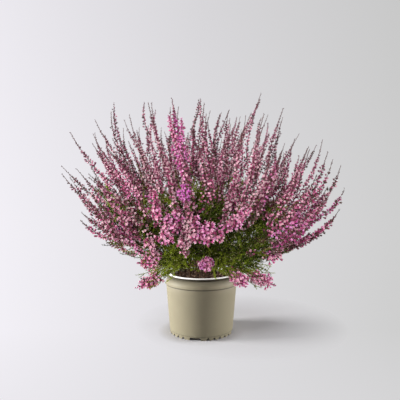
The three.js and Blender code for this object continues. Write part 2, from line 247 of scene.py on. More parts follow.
# The rule that places every shoot, in millimetres and degrees. A spread is 0 at the crown's middle and 1 at
# its edge, and along is 0 at a shoot's foot and 1 at its end.
growth = {
    "shoots": 22,
    "widestSpread": 0.97,
    "goldenAngle": 137.508,
    "length": 282,
    "steps": 24,
    "middleGain": 0.13,
    "outerLoss": 0.06,
    "stemCircle": 31,
    "bendEnd": 0.17,
    "peakLean": 87,
    "tipLean": 31,
    "frontLift": 0.22,
    "frontTrim": 0.1,
    "socketDepth": 16,
    "peatLevel": 90,
    "peatCrown": 3.5,
    "sway": 9,
    "swayHeights": (120, 280),
    "swayAcross": 40,
    "swayUp": 60,
    "swayRipple": 31,
    "rippleShare": 0.6,
    "branchTurn": 0.5,
    "branchWidth": (0.88, 1.12),
    "curls": (2.5, 5),
    "curlUp": 0.3,
}
goldenTurn = radians(growth["goldenAngle"])


# A fixed number from 0 to 1. The key says whose draw it is, and the salt which of its draws.
def chance(key, salt):
    wave = sin(key * 12.9898 + salt * 78.233) * 43758.5453
    return wave - floor(wave)


def between(low, high, key, salt):
    return low + (high - low) * chance(key, salt)


def smooth(value):
    clamped = np.clip(value, 0, 1)
    return clamped * clamped * (3 - 2 * clamped)


def ramped(value, start, end):
    return smooth((value - start) / (end - start))


def unit(vector):
    return vector / np.linalg.norm(vector)


# Shares from 0 to 1 in a column, to multiply with points.
def shares(count):
    return np.linspace(0, 1, count)[:, None]


def peatHeight(spread):
    return growth["peatLevel"] + growth["peatCrown"] * (1 - spread * spread)


# From 0 at the middle, the sides and the back to 1 at the front of the crown.
def frontness(spread, heading):
    return np.maximum(0, -np.sin(heading)) ** 3 * smooth(spread * 1.5)


# A shoot leans out to its peak near its foot, and then turns up again towards its tip.
def leanAt(spread, heading, along):
    peak = radians(growth["peakLean"]) * spread * (1 - growth["frontLift"] * frontness(spread, heading))
    tip = radians(growth["tipLean"]) * spread
    bendEnd = growth["bendEnd"]
    opening = peak * smooth(along / bendEnd)
    closing = peak + (tip - peak) * (along - bendEnd) / (1 - bendEnd)
    return np.where(along < bendEnd, opening, closing)


# A slow drift of the whole crown, so that no two shoots curve alike.
def swayed(points):
    x, y, z = points.T
    up, ripple, share = z / growth["swayUp"], z / growth["swayRipple"], growth["rippleShare"]
    amount = growth["sway"] * ramped(z, *growth["swayHeights"])
    aside = np.sin(y / growth["swayAcross"] + up) + share * np.sin(ripple + 1)
    back = np.sin(x / growth["swayAcross"] - up + 2) + share * np.sin(ripple)
    return np.stack([x + amount * aside, y + amount * back, z], axis=1)


# Where a stem gets to from its foot on the peat. The function says how it leans at each share of its way.
def climbed(out, spread, heading, length, steps, leanOf):
    up, step = peatHeight(spread), length / steps
    for number in range(steps):
        lean = leanOf((number + 0.5) / steps)
        out, up = out + np.sin(lean) * step, up + np.cos(lean) * step
    return np.stack([out * np.cos(heading), out * np.sin(heading), up], axis=1)


# Where points (x, y) of the unit disc are after they have grown along.
def grown(x, y, along):
    spread, heading = np.hypot(x, y), np.arctan2(y, x)
    trim = 1 - growth["frontTrim"] * frontness(spread, heading)
    gain = growth["middleGain"] * np.sin(pi * np.minimum(spread, 1)) - growth["outerLoss"] * spread**2
    length = growth["length"] * trim * (1 + gain) * along

    def leanOf(share):
        return leanAt(spread, heading, share * along)

    return swayed(climbed(growth["stemCircle"] * spread, spread, heading, length, growth["steps"], leanOf))


def shootAt(index):
    spread = sqrt((index + 0.5) / growth["shoots"]) * growth["widestSpread"]
    heading = radians(index * growth["goldenAngle"])
    return spread * cos(heading), spread * sin(heading)


# A branch that stays on its shoot's own way.
straight = {"x": 0, "y": 0, "start": 0, "opening": 1}


# Points up a branch that leaves its shoot at its start and is at its own spread after its opening.
def branchPoints(index, branch, low, high, count):
    x, y = shootAt(index)
    along = np.linspace(low, high, count)
    away = 1 - (1 - np.clip((along - branch["start"]) / branch["opening"], 0, 1)) ** 3
    return grown(x + branch["x"] * away, y + branch["y"] * away, along)


# A branch that spreads sideways from its shoot, but not past the crown's edge.
def branchTo(index, heading, width, rule):
    shoot = shootAt(index)
    x, y = shoot[0] + width * cos(heading), shoot[1] + width * sin(heading)
    share = min(1, rule["edge"] / max(np.hypot(x, y), 0.001))
    return {"x": x * share - shoot[0], "y": y * share - shoot[1], "opening": rule["opening"]}


# Branches all round a shoot, a little unevenly.
def branchesOf(key, rule):
    made = []
    for number in range(rule["count"]):
        jitter = growth["branchTurn"] * (chance(key, 10 + number) - 0.5)
        heading = (number / rule["count"] + chance(key, 1)) * 2 * pi + jitter
        width = rule["spread"] * between(*growth["branchWidth"], key, 20 + number)
        branch = {"x": width * cos(heading), "y": width * sin(heading), "opening": rule["opening"]}
        start = rule["start"] + rule["step"] * number
        end = rule["end"] + rule["more"] * chance(key, 30 + number)
        made.append({**branch, "start": start, "from": start, "end": end})
    return made


# A gentle bend of its own for a fine branch, from nothing at its start.
def wandered(points, key, amount):
    share = np.linspace(0, 1, len(points))
    turn = 2 * pi * chance(key, 40)
    curl = np.sin(share * between(*growth["curls"], key, 41) + turn) - sin(turn)
    rise = growth["curlUp"] * np.cos(turn + 2 * share)
    bend = np.stack([np.cos(turn + share), np.sin(turn + share), rise], axis=1)
    return points + amount * (smooth(share * 1.5) * curl)[:, None] * bend


# A fine branch's points, and its shade of the shoot's tone.
def fineBranch(index, number, branch, rule, tone):
    points = branchPoints(index, branch, branch["from"], branch["end"], rule["points"])
    points = wandered(points, index + rule["keyStep"] * number, rule["wander"])
    return points, tone + between(*rule["tones"], index, rule["salt"] + number)


# Points from start to end, drawn on their way towards the bend.
def arched(start, bend, end, count):
    share = shares(count)
    return start * (1 - share) ** 2 + 2 * bend * share * (1 - share) + end * share**2


# Where each shoot is when it has grown along.
def forksAt(along):
    return np.array([branchPoints(index, straight, along, 1, 2)[0] for index in range(growth["shoots"])])


# The shoot whose fork is nearest to the place.
def nearestShoot(forks, place):
    return int(np.argmin(np.linalg.norm(forks - place, axis=1)))


# What each point of a line tells the recipe that dresses it.
lineValues = ("share", "size", "full", "stalked", "tone", "light", "thick")


def line(points, **values):
    made = {"points": points, "share": np.linspace(0, 1, len(points))}
    for name in lineValues[1:]:
        made[name] = values[name] * np.ones(len(points))
    return made


def carrierOf(name, lines):
    points = np.concatenate([each["points"] for each in lines]) * millimetre
    edges = []
    first = 0
    for each in lines:
        count = len(each["points"])
        edges += [(first + i, first + i + 1) for i in range(count - 1)]
        first += count
    mesh = bpy.data.meshes.new(name)
    mesh.from_pydata(points.tolist(), edges, [])
    for value in lineValues:
        layer = mesh.attributes.new(value, "FLOAT", "POINT")
        layer.data.foreach_set("value", np.concatenate([each[value] for each in lines]).astype(np.float32))
    return mesh


def meshOf(name, vertices, faces):
    mesh = bpy.data.meshes.new(name)
    mesh.from_pydata((np.array(vertices, float) * millimetre).tolist(), [], faces)
    mesh.shade_smooth()
    return mesh


# A surface of revolution. Its profile runs from the top of the axis outwards, or from the bottom, and back
# to the axis where it is closed. A height is a number or a function of x and y.
def turnedMesh(name, profile, sides, closed=True, fromTop=True):
    turns = [side / sides * 2 * pi for side in range(sides)]
    rings = profile[1:-1] if closed else profile[1:]
    places = [(0, 0, profile[0][1])]
    for radius, height in rings:
        places += [(radius * cos(turn), radius * sin(turn), height) for turn in turns]
    if closed:
        places.append((0, 0, profile[-1][1]))
    vertices = [(x, y, height(x, y) if callable(height) else height) for x, y, height in places]
    faces = []
    last = 1 + (len(rings) - 1) * sides
    for side in range(sides):
        following = (side + 1) % sides
        faces.append((0, 1 + side, 1 + following))
        for start in range(1, last, sides):
            faces.append((start + side, start + sides + side, start + sides + following, start + following))
        if closed:
            faces.append((last + following, last + side, last + sides))
    return meshOf(name, vertices, faces if fromTop else [face[::-1] for face in faces])


# A small shape for the recipes to repeat. Its petal values say how far up it each vertex is, from 0 to 1.
# Edges among the vertices of the rim are sharp.
def repeatedShape(name, vertices, faces, petal, rim=()):
    mesh = meshOf(name, vertices, faces)
    layer = mesh.attributes.new("petal", "FLOAT", "POINT")
    layer.data.foreach_set("value", petal)
    sharp = mesh.attributes.new("sharp_edge", "BOOLEAN", "EDGE")
    sharp.data.foreach_set("value", [set(edge.vertices) <= set(rim) for edge in mesh.edges])
    return bpy.data.objects.new(name, mesh)


# Points round a circle at a height.
def circle(radius, height, count, start=0.0):
    turns = [start + corner / count * 2 * pi for corner in range(count)]
    return [(radius * cos(turn), radius * sin(turn), height) for turn in turns]


# A ring with a point at each end.
def spindle(name, low, ring, high, petal, rim=()):
    end = len(ring) + 1
    sides = [(corner, corner % len(ring) + 1) for corner in range(1, end)]
    faces = [(b, a, 0) for a, b in sides] + [(a, b, end) for a, b in sides]
    return repeatedShape(name, [low, *ring, high], faces, petal, rim)


# Florets, buds and needles, each growing up from its foot, in millimetres.
floretShapes = {
    "bellLength": 4.2,
    "bellRadius": 1.8,
    "cupRadius": 0.52,
    "cupHeight": 0.36,
    "notchRadius": 0.72,
    "notchHeight": 0.7,
    "stalk": 2.6,
    "stalkRadius": 0.24,
    "budLength": 3.2,
    "budRadius": 1.05,
    "needleLength": 4.3,
    "needleRadius": 0.8,
}


# A bell of four pointed lobes, with notches between them and its mouth a little inside.
def bellShape(name, stalk):
    sizes = floretShapes
    long, wide = sizes["bellLength"], sizes["bellRadius"]
    rings = [(sizes["stalkRadius"], stalk, 0.1)] if stalk else []
    rings += [(sizes["cupRadius"] * wide, stalk + sizes["cupHeight"] * long, 0.35)]
    vertices = [(0, 0, 0)]
    petals = [0.0]
    loops = []
    for radius, height, petal in rings:
        loops.append([len(vertices) + corner for corner in range(4)])
        vertices += circle(radius, height, 4)
        petals += [petal] * 4
    tips = [len(vertices) + 2 * corner for corner in range(4)]
    notches = [tip + 1 for tip in tips]
    mouth = circle(wide, stalk + long, 4)
    inside = circle(sizes["notchRadius"] * wide, stalk + sizes["notchHeight"] * long, 4, pi / 4)
    for tip, notch in zip(mouth, inside):
        vertices += [tip, notch]
        petals += [1.0, 0.75]
    faces = [tuple(notches)]
    cup = loops[-1]
    for corner in range(4):
        following = (corner + 1) % 4
        faces.append((0, loops[0][following], loops[0][corner]))
        for low, high in zip(loops, loops[1:]):
            faces.append((low[corner], low[following], high[corner]))
            faces.append((low[following], high[following], high[corner]))
        faces.append((cup[corner], cup[following], notches[corner]))
        faces.append((cup[corner], notches[corner], tips[corner]))
        faces.append((cup[following], tips[following], notches[corner]))
        faces.append((tips[following], notches[following], notches[corner]))
    return repeatedShape(name, vertices, faces, petals, tips + notches)


def budShape():
    long = floretShapes["budLength"]
    ring = circle(floretShapes["budRadius"], 0.5 * long, 4)
    return spindle("bud", (0, 0, 0), ring, (0, 0, long), [0.0, 0.55, 0.55, 0.55, 0.55, 0.9])


def needleShape():
    vertices = [*circle(floretShapes["needleRadius"], 0, 3), (0, 0, floretShapes["needleLength"])]
    faces = [(2, 1, 0), (0, 1, 3), (1, 2, 3), (2, 0, 3)]
    return repeatedShape("needle", vertices, faces, [0.0, 0.0, 0.0, 1.0])


# The body and tip colours run from faded spikes over fresh pink ones to magenta ones.
petalColours = {
    "bodies": [(0.34, 0.045, 0.14, 1), (0.53, 0.05, 0.22, 1), (0.77, 0.065, 0.32, 1), (0.64, 0.04, 0.46, 1)],
    "tips": [(1.0, 0.87, 0.80, 1), (1.0, 0.86, 0.83, 1), (1.0, 0.86, 0.84, 1), (0.90, 0.42, 0.78, 1)],
    "base": (0.05, 0.022, 0.02, 1),
    "greenBase": (0.058, 0.046, 0.012, 1),
    "greenBelow": (0.2, 0.31),
    "bud": (0.08, 0.022, 0.028, 1),
    "basePart": (0.5, 0.12),
    "tipPart": (0.64, 0.9),
    "tipShades": (0.3, 0.68),
    "dimShades": (0.6, 0.0, 0.0, 0.92),
    "budPart": (0.82, 1.0),
    "shadeTurn": 0.3,
    "shadeAge": 0.15,
    "veinSize": 0.0005,
    "veinDepth": 0.0001,
    "roughness": 0.5,
}


def petalFinish():
    looks = petalColours
    finish = Finish("heather petals", {"Specular IOR Level": 0.4, "Sheen Weight": 0.1})
    petal, share = finish.along("petal"), finish.along("share")
    tone, shade = finish.along("tone"), finish.along("shade") + finish.along("light")
    turned = tone + looks["shadeTurn"] * (shade - 0.5)
    stops = (0.0, 0.33, 0.66, 1.0)
    body, tip = (finish.ramp(turned, list(zip(stops, looks[name]))) for name in ("bodies", "tips"))
    base = finish.faded(finish.height(), looks["greenBelow"], looks["greenBase"], looks["base"])
    dimmed = finish.faded(shade, looks["dimShades"], body, base)
    isTip = finish.spread(petal, *looks["tipPart"]) * finish.spread(shade, *looks["tipShades"])
    based = finish.faded(petal, looks["basePart"], finish.mixed(isTip, dimmed, tip), base)
    aged = finish.faded(share + looks["shadeAge"] * shade, looks["budPart"], based, looks["bud"])
    veins = finish.grain(looks["veinSize"], 3)
    mottled = finish.mottled(aged, veins, 0.4, 0.3, 0.6, 0.7)
    return finish.surface(mottled, looks["roughness"] + 0.2 * (veins - 0.5), veins, looks["veinDepth"], 0.5)


# Greens run from deep over olive to lime.
leafColours = {
    "deep": (0.014, 0.032, 0.003, 1),
    "olive": (0.10, 0.15, 0.008, 1),
    "lime": (0.34, 0.43, 0.03, 1),
    "fleck": (0.78, 0.66, 0.46, 1),
    "fleckShades": (0.93, 0.95),
    "fleckPart": (0.1, 0.5),
    "bark": (0.10, 0.055, 0.03, 1),
    "paleBark": (0.24, 0.15, 0.09, 1),
    "twig": (0.09, 0.022, 0.025, 1),
    "paleTwig": (0.20, 0.09, 0.05, 1),
    "greenTwig": (0.07, 0.07, 0.014, 1),
    "tipTurn": 0.25,
    "shadeTurn": 0.35,
    "mottleSize": 0.0008,
    "mottleDepth": 0.0001,
    "ridgeSize": 0.0012,
    "ridgeDepth": 0.0003,
}


def leafFinish():
    looks = leafColours
    finish = Finish("heather needles", {"Specular IOR Level": 0.15})
    petal, tone, shade = finish.along("petal"), finish.along("tone"), finish.along("shade")
    stops = [(0.0, looks["deep"]), (0.5, looks["olive"]), (1.0, looks["lime"])]
    green = finish.ramp(tone + looks["tipTurn"] * petal + looks["shadeTurn"] * (shade - 0.5), stops)
    pale = finish.spread(shade, *looks["fleckShades"]) * finish.spread(petal, *looks["fleckPart"])
    body = finish.mixed(pale, green, looks["fleck"])
    mottle = finish.grain(looks["mottleSize"], 3)
    mottled = finish.mottled(body, mottle, 0.5, 0.3, 0.7, 0.5)
    return finish.surface(mottled, 0.6 + 0.3 * mottle, mottle, looks["mottleDepth"], 0.5)


def barkFinish(name, shades):
    finish = Finish(name, {"Specular IOR Level": 0.3})
    colour, paler, lower = (leafColours[shade] for shade in shades)
    ridges = finish.grain(leafColours["ridgeSize"], 4, 0.65)
    upper = finish.ramp(ridges, [(0.3, colour), (0.75, paler)])
    colours = finish.faded(finish.height(), petalColours["greenBelow"], lower, upper)
    return finish.surface(colours, 0.6 + 0.3 * ridges, ridges, leafColours["ridgeDepth"])


# Points up the lines, turned round the stem by the golden angle and leaning out from it.
def dressedPoints(recipe, rule):
    curve = recipe.node("GeometryNodeMeshToCurve", values={0: recipe.given["Geometry"]})
    source = {0: curve, "Length": recipe.given["Spacing"]}
    points = recipe.node("GeometryNodeCurveToPoints", {"mode": "LENGTH"}, source)
    rotation = Wire(recipe, points.socket.node.outputs["Rotation"])
    spin = recipe.node("GeometryNodeInputIndex") * goldenTurn + recipe.random(-0.4, 0.4, 1)
    low, high, jitter = (radians(tilt) for tilt in rule["tilts"])
    lean = low + (high - low) * recipe.named("share") + recipe.random(-jitter, jitter, 2)
    rotation = recipe.turned(recipe.turned(rotation, (0, 0, 1), spin), (0, 1, 0), lean)
    shaded = recipe.stored(points, "shade", recipe.random(0.0, 1.0, 3))
    isThere = recipe.random(0.0, 1.0, 6) < recipe.named("full")
    scale = recipe.named("size") * recipe.random(*rule["scales"], 7)
    return curve, shaded, rotation, isThere, scale


# Tilts in degrees: at the foot of a line, at its end, and either way by chance. Spacing is in millimetres.
flowerRule = {"spacing": 1.15, "tilts": (72, 36, 14), "scales": (0.78, 1.15), "buds": (0.84, 0.07)}
leafRule = {"spacing": 1.15, "tilts": (70, 42, 20), "scales": (0.75, 1.2)}


def flowerRecipe(values):
    recipe = Recipe("flower spikes", values)
    curve, points, rotation, isThere, scale = dressedPoints(recipe, flowerRule)
    budsFrom, jitter = flowerRule["buds"]
    isOpen = recipe.named("share") + recipe.random(-jitter, jitter, 4) < budsFrom
    hasStalk = recipe.random(0.0, 1.0, 5) < recipe.named("stalked")
    chosen = {
        "Bell": isThere * isOpen * (1 - hasStalk),
        "Stalked Bell": isThere * isOpen * hasStalk,
        "Bud": isThere * (1 - isOpen),
    }
    given = recipe.given
    parts = [recipe.stem(curve, given["Twig"])]
    for name, selection in chosen.items():
        florets = recipe.copies(points, selection, given[name], rotation, scale)
        parts.append(recipe.painted(florets, given["Petals"]))
    return recipe.done(parts)


def leafRecipe(values):
    recipe = Recipe("leafy stems", values)
    curve, points, rotation, isThere, scale = dressedPoints(recipe, leafRule)
    given = recipe.given
    needles = recipe.copies(points, isThere, given["Needle"], rotation, scale)
    return recipe.done([recipe.stem(curve, given["Bark"]), recipe.painted(needles, given["Leaves"])])


flowerValues = {
    "Bell": bellShape("bell", 0),
    "Stalked Bell": bellShape("stalked_bell", floretShapes["stalk"]),
    "Bud": budShape(),
    "Spacing": flowerRule["spacing"] * millimetre,
    "Petals": petalFinish(),
    "Twig": barkFinish("heather twigs", ("twig", "paleTwig", "greenTwig")),
    "Seed": 0,
}
leafValues = {
    "Needle": needleShape(),
    "Spacing": leafRule["spacing"] * millimetre,
    "Leaves": leafFinish(),
    "Bark": barkFinish("heather bark", ("bark", "paleBark", "bark")),
    "Seed": 0,
}
flowers = (flowerRecipe(flowerValues), flowerValues, "flowers")
greens = (leafRecipe(leafValues), leafValues, "foliage")
print("plant shapes, finishes and recipes made")


# Dresses the lines of a shoot or a low spray, as a piece that stands for the node of its number.
def dressedPiece(name, node, index, lines, kind, seed):
    number = f"{index + 1:02d}"
    tree, values, slot = kind
    carrier = carrierOf(name + number, lines)
    return makePiece(name + number, carrier, tree, {**values, "Seed": seed + index}, slot, node + number)


# Green places between the flowers, each with its middle and its reach.
hollows = [
    (8, -145, 205, 17),
    (-46, -150, 217, 11),
    (-68, -135, 177, 13),
    (42, -130, 160, 15),
    (-75, -135, 214, 12),
    (21, -140, 186, 9),
    (84, -100, 176, 16),
    (-110, -100, 212, 10),
    (-36, -125, 150, 9),
    (-122, -85, 186, 13),
    (-146, -62, 212, 12),
    (-168, -35, 238, 9),
    (106, -88, 206, 13),
    (84, -95, 150, 17),
    (66, -92, 128, 12),
    (-7, -145, 236, 13),
]

# One flower spike. Where it changes is a share of its length, or a height in the crown.
spike = {
    "full": 0.95,
    "filling": (0.04, 0.14),
    "thinning": (0.8, 1),
    "thinner": 0.15,
    "hollowDepth": 4,
    "hollowEdge": 4,
    "largest": 1.04,
    "shrinking": (0.72, 1),
    "smaller": 0.4,
    "lowerHeights": (330, 160),
    "lowerBrighter": 0.3,
    "lowerBigger": 0.36,
    "stalksEnd": (0.6, 0.95),
    "stemRadius": 0.75,
    "stemTaper": 0.65,
}


def spikeLine(points, size, tone, light, stalked, budding=1.0):
    share = np.linspace(0, 1, len(points))
    full = spike["full"] * ramped(share, *spike["filling"])
    full = full * (1 - spike["thinner"] * ramped(share, *spike["thinning"]))
    for *place, reach in hollows:
        near = np.linalg.norm((points - place) / (1, spike["hollowDepth"], 1), axis=1) / reach
        full = full * (1 - np.exp(-(near ** spike["hollowEdge"])))
    lower = ramped(points[:, 2], *spike["lowerHeights"]) - 0.5
    sizes = size * (spike["largest"] - spike["smaller"] * ramped(share, *spike["shrinking"]))
    sizes = sizes * (1 + spike["lowerBigger"] * lower)
    thick = spike["stemRadius"] * size * (1 - spike["stemTaper"] * share) * millimetre
    wide = stalked * (1 - ramped(share, *spike["stalksEnd"]))
    tones = tone + spike["lowerBrighter"] * lower
    made = line(points, size=sizes, full=full, stalked=wide, tone=tones, light=light, thick=thick)
    return {**made, "share": budding * share}


# Full clusters: each has its foot, its tip, its width, its number of side spikes and its tone.
clusters = {
    "places": [
        ((-20, -150, 246), (-39, -120, 344), 28, 9, 0.95),
        ((-55, -125, 163), (-27, -150, 208), 27, 11, 0.62),
        ((-54, -150, 191), (-66, -158, 232), 15, 5, 0.55),
        ((-18, -158, 218), (-25, -160, 240), 17, 5, 0.9),
        ((2, -128, 161), (13, -150, 197), 20, 7, 0.62),
        ((-7, -130, 162), (-15, -142, 186), 18, 5, 0.5),
        ((18, -128, 165), (30, -145, 189), 18, 5, 0.55),
        ((-21, -122, 151), (-16, -152, 202), 11, 4, 0.12),
        ((-76, -112, 153), (-61, -125, 170), 15, 4, 0.4),
        ((38, -125, 176), (60, -150, 214), 16, 5, 0.5),
        ((-99, -95, 167), (-109, -110, 204), 19, 5, 0.5),
        ((100, -62, 126), (125, -66, 152), 19, 5, 0.5),
        ((-84, -72, 126), (-62, -78, 142), 20, 7, 0.55),
        ((-66, 8, 220), (-86, 10, 318), 46, 5, 0.5),
        ((-42, 72, 225), (-54, 90, 322), 46, 5, 0.4),
        ((150, 12, 178), (176, 18, 216), 20, 6, 0.6),
        ((120, 92, 182), (138, 104, 222), 22, 7, 0.5),
        ((34, 158, 176), (40, 182, 214), 22, 7, 0.65),
        ((-74, 142, 180), (-84, 162, 222), 20, 6, 0.45),
        ((-146, 62, 178), (-168, 70, 216), 22, 7, 0.6),
    ],
    "size": 1.08,
    "light": 0.15,
    "stalked": 0.3,
    "budding": 0.85,
    "branchFrom": 0.3,
    "stalkBend": 0.25,
    "sideUpTo": 0.65,
    "sideReach": (0.8, 1.1),
    "sideShorter": 0.5,
    "sideCurve": 1.3,
    "sideTone": (-0.25, 0.1),
    "sideLength": (0.35, 0.5),
    "sideBudding": 0.7,
}
clusterForks = forksAt(clusters["branchFrom"])


# The middle spike of a cluster, and side spikes that open out from it and turn upwards.
def clusterLines(middle, width, long, count, tone, key, rule):
    onward = unit(middle[-1] - middle[0])
    across = unit(np.cross(onward, (0.3, 0.5, 0.8)))
    above = np.cross(onward, across)
    size, light = rule["size"], clusters["light"]
    made = [spikeLine(middle, size, tone, light, rule["stalked"], rule["budding"])]
    share = shares(7)
    for number in range(count):
        place = clusters["sideUpTo"] * number / count
        start = middle[int(place * (len(middle) - 1))]
        turn = number * goldenTurn
        aside = cos(turn) * across + sin(turn) * above
        reach = width / 2 * (1 - clusters["sideShorter"] * place)
        reach = reach * between(*clusters["sideReach"], key, 120 + number)
        rise = onward * between(*long, key, 130 + number)
        points = start + aside * reach * np.sin(share * pi / 2) + rise * share ** clusters["sideCurve"]
        shade = tone + between(*clusters["sideTone"], key, 140 + number)
        made.append(spikeLine(points, size, shade, light, clusters["stalked"], clusters["sideBudding"]))
    return made


# The clusters that fork from a shoot, each on a bare stalk.
def carriedClusters(index):
    made = []
    for key, (foot, tip, width, count, tone) in enumerate(clusters["places"]):
        foot, tip = np.array(foot, float), np.array(tip, float)
        if nearestShoot(clusterForks, foot) != index:
            continue
        rise = arched(clusterForks[index], foot - clusters["stalkBend"] * (tip - foot), foot, 9)
        bare = spikeLine(rise, 1.0, tone, 0, 0)
        made.append({**bare, "full": 0 * bare["full"]})
        middle = foot + (tip - foot) * shares(9)
        long = np.linalg.norm(tip - foot) * np.array(clusters["sideLength"])
        made += clusterLines(middle, width, long, count, tone, key, clusters)
    return made


# The flowers of one shoot: a middle spike, side spikes and short fills. Starts, ends and lengths are shares
# of the shoot's length. Each salt is the first of its kind's draws.
spray = {
    "tone": (0.2, 0.65),
    "light": (-0.3, 0.2),
    "middle": {
        "start": 0.46,
        "end": (0.94, 1.02),
        "points": 22,
        "size": 1.08,
        "stalked": 0.35,
    },
    "sides": {
        "count": 5,
        "spread": 0.13,
        "start": 0.4,
        "step": 0.03,
        "opening": 0.28,
        "end": 0.79,
        "more": 0.2,
        "points": 14,
        "wander": 5,
        "tones": (-0.3, 0.3),
        "size": 1.02,
        "stalked": 0.3,
        "budding": 1.0,
        "keyStep": 0.2,
        "salt": 70,
        "lightSalt": 75,
    },
    "fills": {
        "count": 6,
        "spread": (0.05, 0.24),
        "edge": 1.03,
        "opening": 0.24,
        "bloom": (0.62, 0.4),
        "scatter": 0.22,
        "stalk": 0.08,
        "length": (0.2, 0.36),
        "latest": 0.97,
        "points": 9,
        "wander": 6,
        "tones": (-0.45, 0.45),
        "size": 1.0,
        "stalked": 0.25,
        "budding": 0.9,
        "keyStep": 0.1,
        "salt": 80,
        "lightSalt": 260,
    },
}


# Short spikes that fill the crown round a shoot, lower down towards its outside.
def fillBranches(index, rule):
    x, y = shootAt(index)
    inner, outer = rule["spread"]
    middle, edge = rule["bloom"]
    made = []
    for number in range(rule["count"]):
        heading = number * goldenTurn + 2 * pi * chance(index, 50)
        width = inner + (outer - inner) * sqrt((number + 0.5) / rule["count"])
        branch = branchTo(index, heading, width, rule)
        out = min(1, np.hypot(x + branch["x"], y + branch["y"]))
        scatter = rule["scatter"] * (chance(index, 200 + number) - 0.5)
        bloom = middle + (edge - middle) * out**2 + scatter
        end = min(rule["latest"], bloom + between(*rule["length"], index, 220 + number))
        made.append({**branch, "start": bloom - rule["stalk"], "from": bloom, "end": end})
    return made


def sprayLines(index):
    tone = between(*spray["tone"], index, 60)
    middle, sides, fills = (spray[name] for name in ("middle", "sides", "fills"))
    start, end = middle["start"], between(*middle["end"], index, 5)
    points = branchPoints(index, straight, start, end, middle["points"])
    light = between(*spray["light"], index, 61)
    lines = [spikeLine(points, middle["size"], tone, light, middle["stalked"])]
    for rule, branches in ((sides, branchesOf(index, sides)), (fills, fillBranches(index, fills))):
        for number, branch in enumerate(branches):
            points, shade = fineBranch(index, number, branch, rule, tone)
            light = between(*spray["light"], index, rule["lightSalt"] + number)
            lines.append(spikeLine(points, rule["size"], shade, light, rule["stalked"], rule["budding"]))
    return lines + carriedClusters(index)


counts = []
for index in range(growth["shoots"]):
    counts.append(dressedPiece("heather_spray_", "flower_spray_", index, sprayLines(index), flowers, 100))
print("flower sprays:", sum(counts), "triangles, most in one", max(counts))


# What the twigs and those of the skirt share.
twigDraws = {"opening": 0.2, "points": 6, "keyStep": 0.37, "salt": 450}

# The greens of one shoot: its stem, twigs, a skirt of twigs over the rim and tufts in the hollows. Starts,
# ends and lengths are shares of the shoot's length. A tone runs from deep green, 0, to lime, 1.
leafy = {
    "tone": (0.15, 0.6),
    "size": 1.08,
    "smaller": 0.25,
    "brighter": 0.25,
    "taper": 0.7,
    "leavesStart": 0.1,
    "bareBelow": (104, 112),
    "bareWithin": (50, 56),
    "stemRadius": 1.9,
    "stemEnd": 0.48,
    "twigRadius": 0.7,
    "mainTwigs": {
        "count": 1,
        "spread": 0.1,
        "start": 0.15,
        "step": 0,
        "opening": 0.16,
        "end": 0.28,
        "more": 0.03,
    },
    "twigs": {
        "count": (32, 48),
        "spread": (0.06, 0.34),
        "edge": 1.04,
        "start": (0.09, 0.5),
        "lower": 1.3,
        "length": (0.09, 0.17),
        "wander": 6,
        "tones": (-0.55, 0.45),
        "size": 0.95,
        **twigDraws,
    },
    "skirt": {
        "count": 15,
        "fewerInFront": 0.8,
        "shootsFrom": 0.6,
        "spread": (0.98, 1.5),
        "turn": 17,
        "start": (0.03, 0.15),
        "length": (0.11, 0.22),
        "wander": 10,
        "tones": (-0.3, 0.75),
        "size": 0.85,
        **twigDraws,
    },
    "sprigs": {
        "count": 4,
        "onward": 0.6,
        "aside": 0.8,
        "rise": (0, 0, 0.2),
        "reach": (8, 15),
        "tones": (0, 0.3),
        "radius": 0.42,
    },
    "tufts": {
        "places": [(-68, -12, 172, 14), (-88, -62, 176, 12), (30, 20, 176, 12), (96, -96, 172, 9)],
        "perReach": 1.05,
        "from": (0.36, 0.56),
        "bare": 0.4,
        "across": 1.4,
        "behind": (1.2, 2.8),
        "above": (-0.7, 1),
        "sag": (0, 4, 6),
        # Deeper greens than the twigs', partly painted shade for the hollows.
        "tones": (-0.75, 0.05),
        "size": 1.4,
    },
}
tuftForks = forksAt(leafy["tufts"]["from"][1])


# A stem or twig with needles, bare just over the peat.
def leafyLine(points, size, tone, thick, full=1.0):
    share = np.linspace(0, 1, len(points))
    taper = thick * (1 - leafy["taper"] * share) * millimetre
    above = ramped(points[:, 2], *leafy["bareBelow"])
    outside = ramped(np.hypot(points[:, 0], points[:, 1]), *leafy["bareWithin"])
    dressed = full * np.maximum(above, outside)
    sizes, tones = size * (1 - leafy["smaller"] * share), tone + leafy["brighter"] * share
    return line(points, size=sizes, full=dressed, stalked=0, tone=tones, light=0, thick=taper)


# The stem's points, with one more in the peat under its foot.
def rooted(stem):
    return np.concatenate([stem[:1] - [[0, 0, growth["socketDepth"]]], stem])


def leafyTwigs(index):
    rule = leafy["twigs"]
    (fewest, most), (inner, outer), (first, last) = (rule[name] for name in ("count", "spread", "start"))
    count = int(fewest + (most - fewest) * np.hypot(*shootAt(index)))
    made = []
    for number in range(count):
        heading = number * goldenTurn + 2 * pi * chance(index, 51)
        width = inner + (outer - inner) * sqrt(chance(index, 300 + number))
        share = ((number + chance(index, 350 + number)) / count) ** rule["lower"]
        start = first + (last - first) * share
        end = start + between(*rule["length"], index, 400 + number)
        branch = branchTo(index, heading, width, rule)
        made.append({**branch, "start": start, "from": start, "end": end, "kind": "twigs"})
    return made


